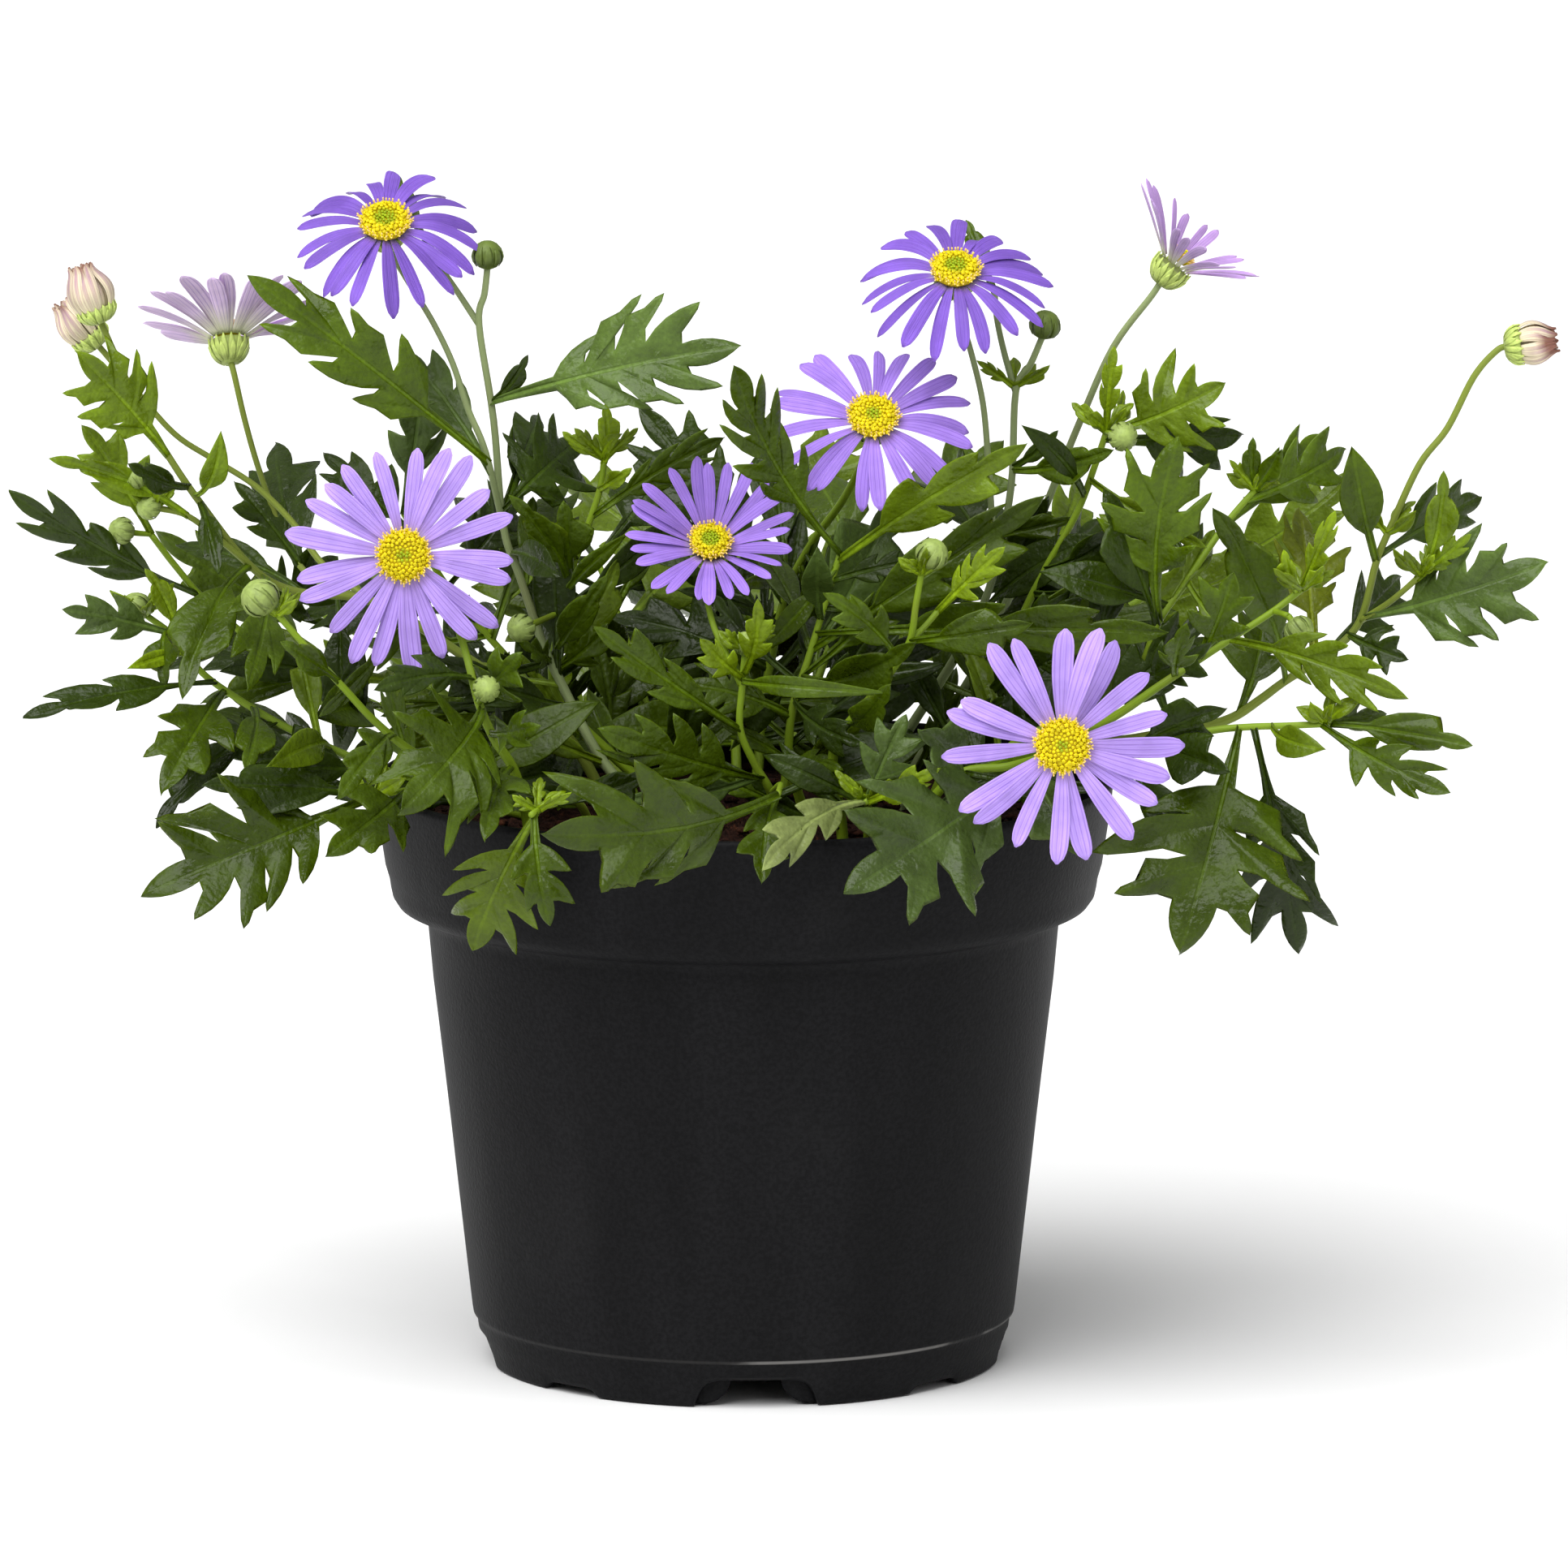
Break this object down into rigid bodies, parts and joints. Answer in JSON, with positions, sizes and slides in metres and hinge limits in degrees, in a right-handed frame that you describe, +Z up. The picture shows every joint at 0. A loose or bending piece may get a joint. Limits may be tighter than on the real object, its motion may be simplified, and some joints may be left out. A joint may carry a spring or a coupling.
{
  "type": "potted swan river daisy",
  "caption": "Bushy potted swan river daisy: finely cut green leaves, lilac daisy blooms with yellow discs and small buds, growing from peat in a round black nursery pot.",
  "frame": {"origin": "on the surface that the pot stands on, under the middle of the whole plant's box; the pot's own axis lies 6.4 mm to -X and 8.4 mm to -Y of it", "axes": "+Z up along the pot's axis, -Y towards the front of the plant, +X to the right as seen from the front"},
  "size_m": [0.2506, 0.1878, 0.1949],
  "materials": {
    "pot": "matt black moulded plastic with a fine grain",
    "soil": "damp crumbly peat",
    "greenery": "smooth leaf with a faint gloss, darker old leaves and yellow-green young ones",
    "petals": "soft lilac petals with fine lengthwise grooves",
    "closed_petals": "pinkish lilac petals laid together, browned at the tips",
    "disc": "granular yellow florets, greener in the middle"
  },
  "bodies": {
    "root": {"bloom_left_upper_petals": "petals", "bloom_left_upper_disc": "disc", "bloom_right_upper_petals": "petals", "bloom_right_upper_disc": "disc", "bloom_left_centre_petals": "petals", "bloom_left_centre_disc": "disc", "bloom_centre_petals": "petals", "bloom_centre_disc": "disc", "bloom_right_centre_petals": "petals", "bloom_right_centre_disc": "disc", "bloom_right_front_petals": "petals", "bloom_right_front_disc": "disc", "bloom_left_back_petals": "petals", "bloom_left_back_disc": "disc", "bloom_right_side_petals": "petals", "bloom_right_side_disc": "disc", "bloom_closed_left_a_petals": "closed_petals", "bloom_closed_left_b_petals": "closed_petals", "bloom_closed_right_petals": "closed_petals", "shoot_left_flowers": "greenery", "shoot_left_long": "greenery", "shoot_left_mid": "greenery", "shoot_left_bud": "greenery", "shoot_front_left": "greenery", "shoot_front_low": "greenery", "shoot_upper_left": "greenery", "shoot_centre_left": "greenery", "shoot_left_back": "greenery", "shoot_bloom_mid": "greenery", "shoot_centre": "greenery", "shoot_bloom_upper_mid": "greenery", "shoot_centre_bud": "greenery", "shoot_front_right_low": "greenery", "shoot_upper_right": "greenery", "shoot_right_flower": "greenery", "shoot_right_leafy": "greenery", "shoot_right_stem": "greenery", "shoot_far_right": "greenery", "shoot_right_young": "greenery", "shoot_right_low": "greenery", "shoot_bloom_right": "greenery", "shoot_back_1": "greenery", "shoot_back_2": "greenery", "shoot_back_3": "greenery", "shoot_back_4": "greenery", "shoot_back_5": "greenery", "pot": "pot", "soil": "soil"}
  },
  "joints": []
}
